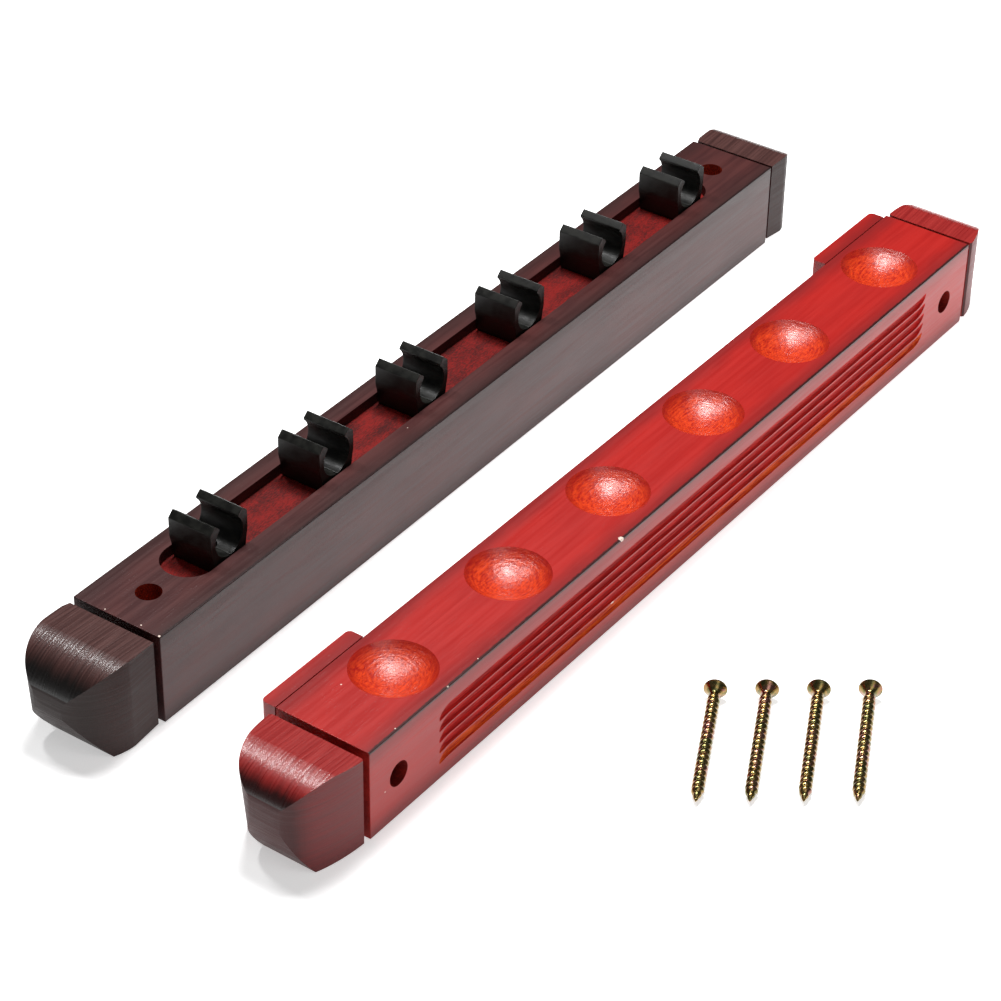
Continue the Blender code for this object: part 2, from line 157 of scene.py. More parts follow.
# Chips in the stain, in each rail's own frame: x, y, z and size
CLIP_RAIL_CHIPS = (
    (0.0021, 0.0127, HEIGHT, 0.0004), (0.0014, 0.0332, HEIGHT, 0.0004), (0.0008, 0.0011, HEIGHT, 0.0006),
    (0.1968, 0.0100, HEIGHT, 0.0003),
)
BASE_RAIL_CHIPS = (
    (0.1906, 0.0006, HEIGHT - 0.0003, 0.0015), (0.1845, 0.0, 0.0150, 0.0012), (0.1717, 0.0, 0.0326, 0.0004),
    (0.0290, 0.0381, HEIGHT, 0.0004), (0.0557, 0.0002, HEIGHT, 0.0005), (0.0792, 0.0012, HEIGHT, 0.0004),
    (0.0196, 0.0013, HEIGHT, 0.0005), (0.0105, 0.0, 0.0198, 0.0004),
)

# Camera, level with the photographer's eye
CAMERA_PLACE = CLIP_RAIL_LOW + Vector((-0.781783, -0.720721, 0.884399))
CAMERA_RIGHT = Vector((0.5762082, -0.8171780, 0.0142920))
CAMERA_DOWN = Vector((-0.4708272, -0.3461816, -0.8114678))
CAMERA_AHEAD = Vector((0.6680613, 0.4608454, -0.5842223))
LENS = 109.32
SENSOR = 36.0


def srgb(red, green, blue):
    """A colour given as 0 to 255 display values, as the linear values that shaders take."""
    def linear(value):
        share = value / 255
        return share / 12.92 if share <= 0.04045 else ((share + 0.055) / 1.055) ** 2.4
    return (linear(red), linear(green), linear(blue), 1.0)


# Mesh tools


def new_object(name, mesh, place=Matrix.Identity(4)):
    made = bpy.data.objects.new(name, mesh)
    bpy.context.scene.collection.objects.link(made)
    made.matrix_world = place
    return made


def mesh_of(shape):
    bmesh.ops.recalc_face_normals(shape, faces=shape.faces)
    mesh = bpy.data.meshes.new("shape")
    shape.to_mesh(mesh)
    shape.free()
    return mesh


def box_mesh(low, high):
    low, high = Vector(low), Vector(high)
    shape = bmesh.new()
    bmesh.ops.create_cube(shape, size=1.0)
    scale = Matrix.Diagonal((*(high - low), 1.0))
    bmesh.ops.transform(shape, matrix=Matrix.Translation((low + high) / 2) @ scale, verts=shape.verts)
    return mesh_of(shape)


def bar_mesh(radius, start, end, sides=64, end_radius=None):
    """A round bar or cone between two points."""
    start, end = Vector(start), Vector(end)
    shape = bmesh.new()
    bmesh.ops.create_cone(shape, cap_ends=True, segments=sides, depth=(end - start).length, radius1=radius,
                          radius2=radius if end_radius is None else end_radius)
    turn = Vector((0.0, 0.0, 1.0)).rotation_difference(end - start).to_matrix().to_4x4()
    bmesh.ops.transform(shape, matrix=Matrix.Translation((start + end) / 2) @ turn, verts=shape.verts)
    return mesh_of(shape)


def prism_mesh(outline, low, high, axis):
    """A closed outline swept from low to high along Y or Z; it lies in the plane of the other two axes."""
    shape = bmesh.new()
    place = {"Y": lambda a, b, s: (a, s, b), "Z": lambda a, b, s: (a, b, s)}[axis]
    face = shape.faces.new([shape.verts.new(place(a, b, low)) for a, b in outline])
    swept = bmesh.ops.extrude_face_region(shape, geom=[face])
    moved = [item for item in swept["geom"] if isinstance(item, bmesh.types.BMVert)]
    bmesh.ops.translate(shape, vec=place(0.0, 0.0, high - low), verts=moved)
    return mesh_of(shape)


def settle(piece):
    """Makes a piece's modifiers part of its mesh."""
    bpy.context.view_layer.update()
    graph = bpy.context.evaluated_depsgraph_get()
    mesh = bpy.data.meshes.new_from_object(piece.evaluated_get(graph))
    piece.modifiers.clear()
    piece.data = mesh
    return piece


def carve(piece, meshes, operation="DIFFERENCE"):
    """Cuts meshes given in the piece's own frame out of it, or joins or crosses them with it."""
    tools = [new_object("tool", mesh, piece.matrix_world) for mesh in meshes]
    for tool in tools:
        modifier = piece.modifiers.new("carve", "BOOLEAN")
        modifier.object = tool
        modifier.operation = operation
    settle(piece)
    for tool in tools:
        bpy.data.objects.remove(tool, do_unlink=True)


def soften(piece, width, segments=3, angle=30.0):
    modifier = piece.modifiers.new("arris", "BEVEL")
    modifier.width = width
    modifier.segments = segments
    modifier.limit_method = "ANGLE"
    modifier.angle_limit = math.radians(angle)
    modifier.harden_normals = False
    settle(piece)


def smooth(piece, angle=32.0, blur=None):
    """Smooth shading that leaves flat faces flat and keeps sharp edges, unless blur(place) is true."""
    piece.data.shade_smooth()
    piece.data.set_sharp_from_angle(angle=math.radians(angle))
    if blur is not None:
        for edge in piece.data.edges:
            middle = sum((piece.data.vertices[i].co for i in edge.vertices), Vector()) / 2
            if edge.use_edge_sharp and blur(middle):
                edge.use_edge_sharp = False
    modifier = piece.modifiers.new("normals", "WEIGHTED_NORMAL")
    modifier.keep_sharp = True
    modifier.weight = 80
    settle(piece)


def paint(piece, materials, choose):
    """Gives each face the material that choose(centre, normal) names."""
    names = list(materials)
    piece.data.materials.clear()
    for name in names:
        piece.data.materials.append(materials[name])
    for face in piece.data.polygons:
        face.material_index = names.index(choose(face.center, face.normal))


def bridge(shape, rings):
    """Faces between each closed ring of points and the next."""
    for first, second in zip(rings, rings[1:]):
        for i in range(len(first)):
            j = (i + 1) % len(first)
            shape.faces.new((first[i], first[j], second[j], second[i]))


def arc(centre, radius, start, end, steps):
    angles = [start + (end - start) * i / steps for i in range(steps + 1)]
    return [(centre[0] + radius * math.cos(a), centre[1] + radius * math.sin(a)) for a in angles]


# Materials


class Shader:
    """A Principled material and the nodes that feed it, in the object's own coordinates."""

    def __init__(self, name, roughness, metallic=0.0, coat=0.0, coat_roughness=0.1, specular=0.5):
        self.material = bpy.data.materials.new(name)
        self.material.use_nodes = True
        self.tree = self.material.node_tree
        self.surface = self.tree.nodes["Principled BSDF"]
        self.surface.inputs["Roughness"].default_value = roughness
        self.surface.inputs["Metallic"].default_value = metallic
        self.surface.inputs["Specular IOR Level"].default_value = specular
        self.surface.inputs["Coat Weight"].default_value = coat
        self.surface.inputs["Coat Roughness"].default_value = coat_roughness
        self.coords = self.tree.nodes.new("ShaderNodeTexCoord").outputs["Object"]

    def feed(self, socket, value):
        if isinstance(value, bpy.types.NodeSocket):
            self.tree.links.new(value, socket)
        else:
            socket.default_value = value

    def maths(self, operation, *values):
        made = self.tree.nodes.new("ShaderNodeMath")
        made.operation = operation
        for socket, value in zip(made.inputs, values):
            self.feed(socket, value)
        return made.outputs["Value"]

    def split(self, vector):
        made = self.tree.nodes.new("ShaderNodeSeparateXYZ")
        self.feed(made.inputs[0], vector)
        return made.outputs

    def join(self, x, y, z):
        made = self.tree.nodes.new("ShaderNodeCombineXYZ")
        for socket, value in zip(made.inputs, (x, y, z)):
            self.feed(socket, value)
        return made.outputs[0]

    def stretch(self, scale):
        made = self.tree.nodes.new("ShaderNodeMapping")
        self.feed(made.inputs["Vector"], self.coords)
        made.inputs["Scale"].default_value = scale
        return made.outputs["Vector"]

    def noise(self, vector, detail=3.0, roughness=0.5, distortion=0.0):
        made = self.tree.nodes.new("ShaderNodeTexNoise")
        self.feed(made.inputs["Vector"], vector)
        made.inputs["Scale"].default_value = 1.0
        made.inputs["Detail"].default_value = detail
        made.inputs["Roughness"].default_value = roughness
        made.inputs["Distortion"].default_value = distortion
        return made.outputs["Fac"]

    def spread(self, value, low, high, to_low=0.0, to_high=1.0):
        """Value from low to high, as to_low to to_high, with soft ends."""
        made = self.tree.nodes.new("ShaderNodeMapRange")
        made.interpolation_type = "SMOOTHSTEP"
        for socket, number in zip(made.inputs, (value, low, high, to_low, to_high)):
            self.feed(socket, number)
        return made.outputs["Result"]

    def mix(self, share, first, second):
        made = self.tree.nodes.new("ShaderNodeMix")
        made.data_type = "RGBA"
        self.feed(made.inputs["Factor"], share)
        self.feed(made.inputs["A"], first)
        self.feed(made.inputs["B"], second)
        return made.outputs["Result"]

    def bump(self, height, strength, distance, after=None):
        made = self.tree.nodes.new("ShaderNodeBump")
        made.inputs["Strength"].default_value = strength
        made.inputs["Distance"].default_value = distance
        self.feed(made.inputs["Height"], height)
        if after is not None:
            self.feed(made.inputs["Normal"], after)
        return made.outputs["Normal"]

    def colour(self, value):
        self.feed(self.surface.inputs["Base Color"], value)

    def rough(self, value):
        self.feed(self.surface.inputs["Roughness"], value)

    def normal(self, value):
        self.feed(self.surface.inputs["Normal"], value)
        self.feed(self.surface.inputs["Coat Normal"], value)


def edge_distance(shader):
    """How far a point on a rail's faces is from the nearest long edge of the face that it is on."""
    y, z = shader.split(shader.coords)[1:3]
    across = shader.maths("MINIMUM", y, shader.maths("SUBTRACT", DEPTH, y))
    up = shader.maths("MINIMUM", z, shader.maths("SUBTRACT", HEIGHT, z))
    return shader.maths("MAXIMUM", shader.maths("ABSOLUTE", across), shader.maths("ABSOLUTE", up))


def half_and_half(shader, first, second):
    return shader.maths("ADD", shader.maths("MULTIPLY", first, 0.5), shader.maths("MULTIPLY", second, 0.5))


def grain(shader):
    """Soft figure and short dark pores, both drawn out along the rail."""
    figure = shader.noise(shader.stretch((14.0, 420.0, 420.0)), detail=4.0, roughness=0.6, distortion=0.6)
    specks = shader.noise(shader.stretch((90.0, 2600.0, 2600.0)), detail=2.0)
    return figure, shader.spread(specks, 0.60, 0.74)


def chipped(shader, body, chips, colour):
    """Ragged spots where the stain is knocked off; a chip is its x, y, z and size."""
    rag = shader.maths("SUBTRACT", shader.noise(shader.stretch((1100.0, 1100.0, 1100.0)), detail=2.0), 0.5)
    for *place, size in chips:
        made = shader.tree.nodes.new("ShaderNodeVectorMath")
        made.operation = "DISTANCE"
        shader.feed(made.inputs[0], shader.coords)
        made.inputs[1].default_value = place
        away = shader.maths("ADD", made.outputs["Value"], shader.maths("MULTIPLY", rag, size * 1.6))
        body = shader.mix(shader.spread(away, size * 0.75, size, 1.0, 0.0), body, colour)
    return body


def stained_wood(name, light, dark, edge, roughness, coat, specular, chips):
    """Stain under lacquer that shows the grain faintly, darkened along the long edges by painted shade."""
    shader = Shader(name, roughness=roughness, coat=coat, coat_roughness=0.20, specular=specular)
    figure, pores = grain(shader)
    blotches = shader.noise(shader.stretch((22.0, 60.0, 60.0)), detail=3.0)
    body = shader.mix(shader.spread(half_and_half(shader, figure, blotches), 0.36, 0.64), dark, light)
    body = shader.mix(shader.maths("MULTIPLY", pores, 0.45), body, dark)
    wander = shader.maths("MULTIPLY", shader.noise(shader.stretch((60.0, 160.0, 160.0))), 0.006)
    distance = shader.maths("ADD", edge_distance(shader), shader.maths("SUBTRACT", wander, 0.003))
    # Painted shade: the colour goes towards the edge colour within about 12 mm of each face's long edges.
    body = shader.mix(shader.spread(distance, 0.0, 0.012, 0.7, 0.0), body, edge)
    y, z = shader.split(shader.coords)[1:3]
    worn = shader.maths("ADD", shader.maths("ABSOLUTE", y), shader.maths("SUBTRACT", HEIGHT, z))
    ragged = shader.maths("MULTIPLY", shader.noise(shader.stretch((420.0, 900.0, 900.0))), 0.0012)
    line = shader.spread(shader.maths("SUBTRACT", worn, ragged), 0.0002, 0.0009, 0.9, 0.0)
    body = shader.mix(line, body, srgb(34, 12, 12))
    shader.colour(chipped(shader, body, chips, srgb(236, 214, 200)))
    shader.rough(shader.spread(figure, 0.3, 0.7, roughness - 0.05, roughness + 0.07))
    relief = shader.bump(shader.noise(shader.stretch((700.0, 1500.0, 1500.0))), 0.18, 0.0002)
    shader.normal(shader.bump(pores, 0.30, 0.00008, relief))
    return shader.material


def brushed_wood(name, light, dark, ends, roughness, coat, specular, lines):
    """Wood sanded round; where it faces along the rail it goes dark, partly end grain taking more stain and
    partly painted shade. Lines is the noise scale, high across scratches.
    """
    shader = Shader(name, roughness=roughness, coat=coat, coat_roughness=0.12, specular=specular)
    strokes = shader.noise(shader.stretch(lines), detail=4.0, roughness=0.62)
    wide = shader.noise(shader.stretch(tuple(s * 0.28 for s in lines)), detail=3.0)
    body = shader.mix(shader.spread(strokes, 0.3, 0.7), dark, light)
    facing = shader.tree.nodes.new("ShaderNodeTexCoord").outputs["Normal"]
    end_grain_and_shade_share = shader.maths("ABSOLUTE", shader.split(facing)[0])
    wander = shader.maths("MULTIPLY", shader.maths("SUBTRACT", wide, 0.5), 0.25)
    end_grain_and_shade_share = shader.maths("ADD", end_grain_and_shade_share, wander)
    # End grain and painted shade: faces turned along the rail go towards the dark ends colour.
    shader.colour(shader.mix(shader.spread(end_grain_and_shade_share, 0.35, 0.80), body, ends))
    shader.rough(shader.spread(strokes, 0.3, 0.7, roughness - 0.06, roughness + 0.10))
    relief = shader.bump(wide, 0.30, 0.0004)
    shader.normal(shader.bump(strokes, 0.50, 0.00030, relief))
    return shader.material


def raw_wood(name, light, dark):
    """Rough routed wood that has taken stain unevenly."""
    shader = Shader(name, roughness=0.6, specular=0.2)
    fibres = shader.noise(shader.stretch((500.0, 1900.0, 1900.0)), detail=4.0, roughness=0.65)
    patches = shader.noise(shader.stretch((60.0, 130.0, 130.0)), detail=3.0)
    patches = shader.maths("MULTIPLY", patches, 0.4)
    share = shader.maths("ADD", shader.maths("MULTIPLY", fibres, 0.6), patches)
    shader.colour(shader.mix(shader.spread(share, 0.38, 0.62), dark, light))
    shader.normal(shader.bump(fibres, 0.8, 0.0004))
    return shader.material


def cup_wood():
    """The cups' thin orange-red stain, with the round marks that the cutter left about each centre."""
    shader = Shader("cup_wood", roughness=0.34, coat=0.25, coat_roughness=0.20)
    x, y = shader.split(shader.coords)[:2]
    centre, number = CUP_PLACES[0], 0.0
    for before, after in zip(CUP_PLACES, CUP_PLACES[1:]):
        past = shader.maths("GREATER_THAN", x, (before + after) / 2)
        centre = shader.maths("ADD", centre, shader.maths("MULTIPLY", past, after - before))
        number = shader.maths("ADD", number, past)
    along = shader.maths("SUBTRACT", x, centre)
    across = shader.maths("SUBTRACT", y, CUP_CENTRE)
    radius = shader.maths("SQRT", shader.maths("ADD", shader.maths("MULTIPLY", along, along),
                                               shader.maths("MULTIPLY", across, across)))
    angle = shader.maths("ARCTAN2", across, along)
    polar = shader.join(shader.maths("MULTIPLY", radius, 900.0), shader.maths("MULTIPLY", angle, 3.2),
                        shader.maths("MULTIPLY", number, 7.3))
    rings = shader.noise(polar, detail=4.0, roughness=0.6)
    lumps = shader.noise(shader.stretch((420.0, 420.0, 420.0)), detail=3.0)
    fibres = shader.noise(shader.stretch((150.0, 1400.0, 1400.0)), detail=3.0)
    share = half_and_half(shader, rings, fibres)
    body = shader.mix(shader.spread(share, 0.34, 0.64), srgb(164, 12, 4), srgb(224, 68, 20))
    rim = shader.spread(radius, CUP_RADIUS * 0.72, CUP_RADIUS, 0.0, 0.75)
    shader.colour(shader.mix(rim, body, srgb(150, 10, 6)))
    relief = shader.bump(lumps, 0.25, 0.0006)
    relief = shader.bump(rings, 0.6, 0.0004, relief)
    shader.normal(shader.bump(fibres, 0.2, 0.0002, relief))
    return shader.material


def flute_wood():
    """Stain in the flutes: deep red above, thinner and more orange in the lowest one."""
    shader = Shader("flute_wood", roughness=0.55, specular=0.2)
    z = shader.split(shader.coords)[2]
    streaks = shader.noise(shader.stretch((60.0, 1500.0, 1500.0)), detail=4.0, roughness=0.6)
    red = shader.mix(shader.spread(streaks, 0.35, 0.65), srgb(150, 10, 8), srgb(204, 26, 20))
    orange = shader.mix(shader.spread(streaks, 0.35, 0.65), srgb(170, 32, 6), srgb(224, 88, 12))
    start, end = FLUTE_LOWEST + FLUTE_PITCH * 0.3, FLUTE_LOWEST + FLUTE_PITCH * 0.7
    low = shader.spread(z, start, end, 1.0, 0.0)
    shader.colour(shader.mix(low, red, orange))
    shader.normal(shader.bump(streaks, 0.5, 0.0003))
    return shader.material


def black_plastic():
    """Extruded plastic with faint draw lines along the clip."""
    shader = Shader("black_plastic", roughness=0.42, specular=0.3)
    lines = shader.noise(shader.stretch((2600.0, 60.0, 2600.0)), detail=3.0)
    cloud = shader.noise(shader.stretch((240.0, 240.0, 240.0)), detail=4.0)
    shader.colour(shader.mix(shader.spread(cloud, 0.35, 0.65), srgb(12, 12, 10), srgb(22, 22, 18)))
    shader.rough(shader.spread(cloud, 0.35, 0.65, 0.36, 0.50))
    shader.normal(shader.bump(lines, 0.25, 0.0001))
    return shader.material


def yellow_zinc():
    """Yellow passivated zinc, which shifts between olive, gold and rose."""
    shader = Shader("yellow_zinc", roughness=0.22, metallic=1.0)
    bloom = shader.noise(shader.stretch((160.0, 160.0, 160.0)), detail=2.0, distortion=1.5)
    gold = shader.mix(shader.spread(bloom, 0.40, 0.52), srgb(104, 100, 62), srgb(150, 124, 74))
    tint = shader.mix(shader.spread(bloom, 0.52, 0.64), gold, srgb(150, 108, 96))
    shader.colour(tint)
    shader.rough(shader.spread(shader.noise(shader.stretch((900.0, 900.0, 900.0))), 0.3, 0.7, 0.16, 0.32))
    return shader.material


def plain_steel():
    shader = Shader("dark_steel", roughness=0.32, metallic=1.0)
    marks = shader.noise(shader.stretch((1500.0, 1500.0, 1500.0)), detail=3.0)
    shader.colour(shader.mix(marks, srgb(120, 120, 118), srgb(165, 164, 160)))
    shader.normal(shader.bump(marks, 0.15, 0.0001))
    return shader.material


# Wooden pieces


def rail_body(name, place):
    rail = new_object(name, box_mesh((0.0, 0.0, 0.0), (LENGTH, DEPTH, HEIGHT)), place)
    soften(rail, ARRIS)
    radius = TENON_RADIUS + SOCKET_SLACK
    sockets = [bar_mesh(radius, (face - out * SOCKET_DEPTH, *MIDDLE), (face + out * HAIR, *MIDDLE))
               for face, out in ((0.0, -1), (LENGTH, 1))]
    carve(rail, sockets)
    return rail


def stepped_holes(rail, places, direction, length):
    """Clearance holes from each place along a direction, with counterbores at their mouths."""
    direction = Vector(direction)
    for place in places:
        place = Vector(place)
        mouth = place - direction * HAIR
        carve(rail, [bar_mesh(HOLE_RADIUS, mouth, place + direction * (length + HAIR)),
                     bar_mesh(COUNTERBORE_RADIUS, mouth, place + direction * COUNTERBORE_DEPTH)])


def clip_rail(materials):
    rail = rail_body("clip_rail_body", CLIP_FRAME)
    radius = CHANNEL_WIDTH / 2
    near = arc((CHANNEL_START + radius, CHANNEL_CENTRE), radius, math.pi / 2, 3 * math.pi / 2, 40)
    far = arc((CHANNEL_END - radius, CHANNEL_CENTRE), radius, -math.pi / 2, math.pi / 2, 40)
    floor = HEIGHT - CHANNEL_DEPTH
    carve(rail, [prism_mesh(near + far, floor, HEIGHT + HAIR, "Z")])
    places = [(x, CLIP_RAIL_HOLE_CENTRE, HEIGHT) for x in CLIP_RAIL_HOLES]
    stepped_holes(rail, places, (0.0, 0.0, -1.0), HEIGHT)
    pilots = [bar_mesh(SCREW_HOLE_RADIUS, (x, CHANNEL_CENTRE, floor + HAIR),
                       (x, CHANNEL_CENTRE, floor - CLIP_SCREW_PILOT), 24) for x in CLIP_PLACES]
    carve(rail, pilots)
    smooth(rail)

    def choose(centre, normal):
        along = CHANNEL_START - HAIR < centre.x < CHANNEL_END + HAIR
        across = abs(centre.y - CHANNEL_CENTRE) < radius + HAIR
        if along and across and floor - 0.0002 < centre.z < HEIGHT - 0.0003:
            return "channel" if normal.z > 0.5 else "dark_neck"
        for place in places:
            if centre.z < HEIGHT - 0.0002 and math.dist(centre.xy, place[:2]) < COUNTERBORE_RADIUS + HAIR:
                return "dark_hole" if centre.z > HAIR else "dark_wood"
        return "dark_neck" if abs(normal.x) > 0.9 else "dark_wood"

    paint(rail, materials, choose)
    finish_piece(rail, "clip_rail", "dark_wood", "clip_rail")


def flute_path(height):
    """A flute's middle line: x, height, how far the cutter is out of the wood, and its share of width."""
    steps = 14
    path = []
    for end, out in ((FLUTE_START, -1), (FLUTE_END, 1)):
        half = []
        for i in range(steps + 1):
            share = i / steps
            x = end - out * FLUTE_RUNOUT * (1.0 - share)
            z = height + out * FLUTE_HOOK * share**3
            half.append((x, z, FLUTE_DROP * 1.15 * share**4, 1.0 - 0.45 * share**3))
        path += half[::-1] if out < 0 else half
    return path


def flute_mesh(index):
    """The space that a round-edged cutter clears along a flute, with a hook where it comes out."""
    shape = bmesh.new()
    path = flute_path(FLUTE_LOWEST + index * FLUTE_PITCH)
    inset = FLUTE_RADIUS - FLUTE_DROP
    rings = []
    sides = 32
    for i, (x, z, rise, width) in enumerate(path):
        before, after = path[max(0, i - 1)], path[min(len(path) - 1, i + 1)]
        across = Vector((-(after[1] - before[1]), after[0] - before[0])).normalized()
        ring = arc((-inset - rise, 0.0), FLUTE_RADIUS, 0.0, 2 * math.pi * (sides - 1) / sides, sides - 1)
        rings.append([shape.verts.new((x + across.x * side * width, y, z + across.y * side * width))
                      for y, side in ring])
    bridge(shape, rings)
    shape.faces.new(rings[0])
    shape.faces.new(rings[-1])
    return mesh_of(shape)


def base_rail(materials):
    rail = rail_body("base_rail_body", BASE_FRAME)
    cups = []
    for x in CUP_PLACES:
        ball = bmesh.new()
        bmesh.ops.create_uvsphere(ball, u_segments=96, v_segments=64, radius=CUP_BALL)
        place = (x, CUP_CENTRE, HEIGHT + CUP_BALL - CUP_DROP)
        bmesh.ops.translate(ball, vec=place, verts=ball.verts)
        cups.append(mesh_of(ball))
    carve(rail, cups)
    carve(rail, [flute_mesh(i) for i in range(FLUTE_COUNT)])
    places = [(x, 0.0, BASE_RAIL_HOLE_HEIGHT) for x in BASE_RAIL_HOLES]
    stepped_holes(rail, places, (0.0, 1.0, 0.0), DEPTH)
    smooth(rail)
    centres = [(x, CUP_CENTRE) for x in CUP_PLACES]

    def choose(centre, normal):
        if HEIGHT - CUP_DROP - 0.001 < centre.z < HEIGHT - 0.0001 and normal.z > 0.5:
            if any(math.dist(centre.xy, middle) < CUP_RADIUS + HAIR for middle in centres):
                return "cup"
        for x, _, z in places:
            if HAIR < centre.y < DEPTH - HAIR:
                if math.dist((centre.x, centre.z), (x, z)) < COUNTERBORE_RADIUS + HAIR:
                    return "red_hole"
        if HAIR < centre.y < FLUTE_DROP + HAIR and FLUTE_LOWEST - 0.004 < centre.z < HEIGHT - 0.004:
            if FLUTE_START - 0.002 < centre.x < FLUTE_END + 0.002:
                return "flute"
        return "red_neck" if abs(normal.x) > 0.9 else "red_wood"

    paint(rail, materials, choose)
    finish_piece(rail, "base_rail", "red_wood", "base_rail")


def profile(straight, fast, blunt):
    """Shares of a nose's length, with the height at each: 1 where it is straight, then down to 0."""
    rounding = [math.sin(math.pi / 2 * i / CAP_STATIONS) for i in range(CAP_STATIONS + 1)]
    return [(straight + (1.0 - straight) * share, max(0.0, 1.0 - share**fast) ** (1.0 / blunt))
            for share in rounding]


def nose(length, size, tip, low_side, high_side):
    """Outline of a nose that grows in +X from a face of a given size, with its tip part-way across it."""
    high = [(s * length, tip + (size - tip) * h) for s, h in profile(*high_side)]
    low = [(s * length, tip - tip * h) for s, h in profile(*low_side)[:-1]]
    high[0] = (max(high[0][0], CAP_EDGE), size)
    low[0] = (max(low[0][0], CAP_EDGE), 0.0)
    return [(0.0, size - CAP_EDGE)] + high + low[::-1] + [(0.0, CAP_EDGE)]


def sand_corner(cap, start, out, length, shape):
    """Rounds off the corner between a cap's underside, its end and its back."""
    tip_y, tip_z = shape["tip"][0] * DEPTH, shape["tip"][1] * HEIGHT
    sharp = shape["underside"][0]
    for vertex in cap.data.vertices:
        share = out * (vertex.co.x - start) / length
        along = min(1.0, max(0.0, (share - sharp + SAND_RUN) / SAND_RUN))
        low = min(1.0, max(0.0, 1.0 - vertex.co.z / tip_z))
        back = max(0.0, (vertex.co.y - tip_y) / (DEPTH - tip_y))
        vertex.co.y -= SAND_INSET * DEPTH * along * low**1.5 * back


def end_cap(node, body, place, face, out, shape, materials, slot):
    """A block rounded in side view and in plan, with the tenon that holds it in the rail."""
    length = shape["far"] if out > 0 else shape["near"]
    start = face + out * (FAR_GROOVE if out > 0 else NEAR_GROOVE)
    tip_y, tip_z = shape["tip"][0] * DEPTH, shape["tip"][1] * HEIGHT
    side = nose(length, HEIGHT, tip_z, shape["underside"], shape["top"])
    plan = nose(length + HAIR, DEPTH, tip_y, shape["front"], shape["back"])
    side = [(start + out * x, z) for x, z in side]
    plan = [(start + out * x, y) for x, y in plan]
    cap = new_object(node + "_block", prism_mesh(side, -SPARE, DEPTH + SPARE, "Y"), place)
    carve(cap, [prism_mesh(plan, -SPARE, HEIGHT + SPARE, "Z")], "INTERSECT")
    sand_corner(cap, start, out, length, shape)
    soften(cap, CREASE, segments=2, angle=20.0)
    tenon = bar_mesh(TENON_RADIUS, (face - out * TENON_REACH, *MIDDLE), (start + out * TENON_ROOT, *MIDDLE))
    carve(cap, [tenon], "UNION")
    undercut = shape["underside"][0] * length * 0.98

    def chin(middle):
        return out * (middle.x - start) > undercut and 0.001 < middle.z < tip_z * 0.9

    smooth(cap, 28.0, chin)

    def choose(centre, normal):
        along = out * (centre.x - start)
        if along < 0.0008 and (abs(normal.x) > 0.8 or along < 0.0):
            return "neck"
        return "round" if normal.z > 0.30 and abs(normal.y) < 0.6 else "front"

    paint(cap, materials, choose)
    finish_piece(cap, body, slot, node)


def stand_off(node, start, hole, materials):
    front = DEPTH + BLOCK_GAP
    back = front + BLOCK_THICKNESS
    end = start + BLOCK_LENGTH
    corners = arc((end - BLOCK_CORNER, back - BLOCK_CORNER), BLOCK_CORNER, 0.0, math.pi / 2, 8)
    corners += arc((start + BLOCK_CORNER, back - BLOCK_CORNER), BLOCK_CORNER, math.pi / 2, math.pi, 8)
    outline = [(start, front), (end, front)] + corners
    block = new_object(node + "_block", prism_mesh(outline, 0.0, HEIGHT, "Z"), BASE_FRAME)
    soften(block, BLOCK_EDGE)
    carve(block, [bar_mesh(HOLE_RADIUS, (hole, front - HAIR, BASE_RAIL_HOLE_HEIGHT),
                           (hole, back + HAIR, BASE_RAIL_HOLE_HEIGHT))])
    smooth(block)
    paint(block, {"block": materials["block"]}, lambda centre, normal: "block")
    finish_piece(block, "base_rail", "red_wood", node)


def finish_piece(piece, body, slot, *nodes):
    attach(piece, body)
    if nodes:
        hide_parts(*nodes)


# Clips


def clip_half_outline(side):
    """Half of a clip's U section, from the middle of the foot round to the middle of the bore's floor."""
    lip = math.acos(CLIP_LIP[0] / BORE_RADIUS)
    outside = [(CLIP_SPLIT, CLIP_FOOT[1]), CLIP_FOOT, CLIP_WAIST, (HINGE_HALF, HINGE_HEIGHT)]
    flank = arc((CLIP_HALF - 0.0150, CLIP_BELLY), 0.0150, -0.30, 0.0, 6)
    outside += flank + [(CLIP_HALF, CLIP_SHOULDER), CLIP_RIDGE, CLIP_LIP]
    bore = arc((0.0, BORE_CENTRE), BORE_RADIUS, lip, -math.pi / 2 + 0.004, 40)
    return [(side * x, z) for x, z in outside + bore]


def clip_half(number, end, side, centre, material):
    """One half of a clip, from its middle plane out; the real jaw bends about the side of the bore's floor,
    but this half is fixed.
    """
    section = prism_mesh(clip_half_outline(side), -CLIP_WIDTH / 2, CLIP_WIDTH / 2, "Y")
    half = new_object(f"clip_{number}_{end}", section, Matrix.Translation(centre))
    soften(half, CLIP_EDGE, segments=2, angle=40.0)
    levels = (-0.0070, SINK_FOOT, SINK_TOP, SINK_TOP + 0.00005, 0.0010)
    under, foot, top, lapped, over = [(0.0, 0.0, z) for z in levels]
    carve(half, [bar_mesh(SCREW_HOLE_RADIUS, under, over, 40),
                 bar_mesh(SCREW_HOLE_RADIUS, foot, lapped, 40, end_radius=SINK_RADIUS),
                 bar_mesh(SINK_RADIUS, top, over, 40)])
    smooth(half, 28.0)
    paint(half, {"plastic": material}, lambda middle, normal: "plastic")
    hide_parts(f"clip_base_{number}", f"clip_jaw_{number}_{end}")
    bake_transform(half)


# Screws


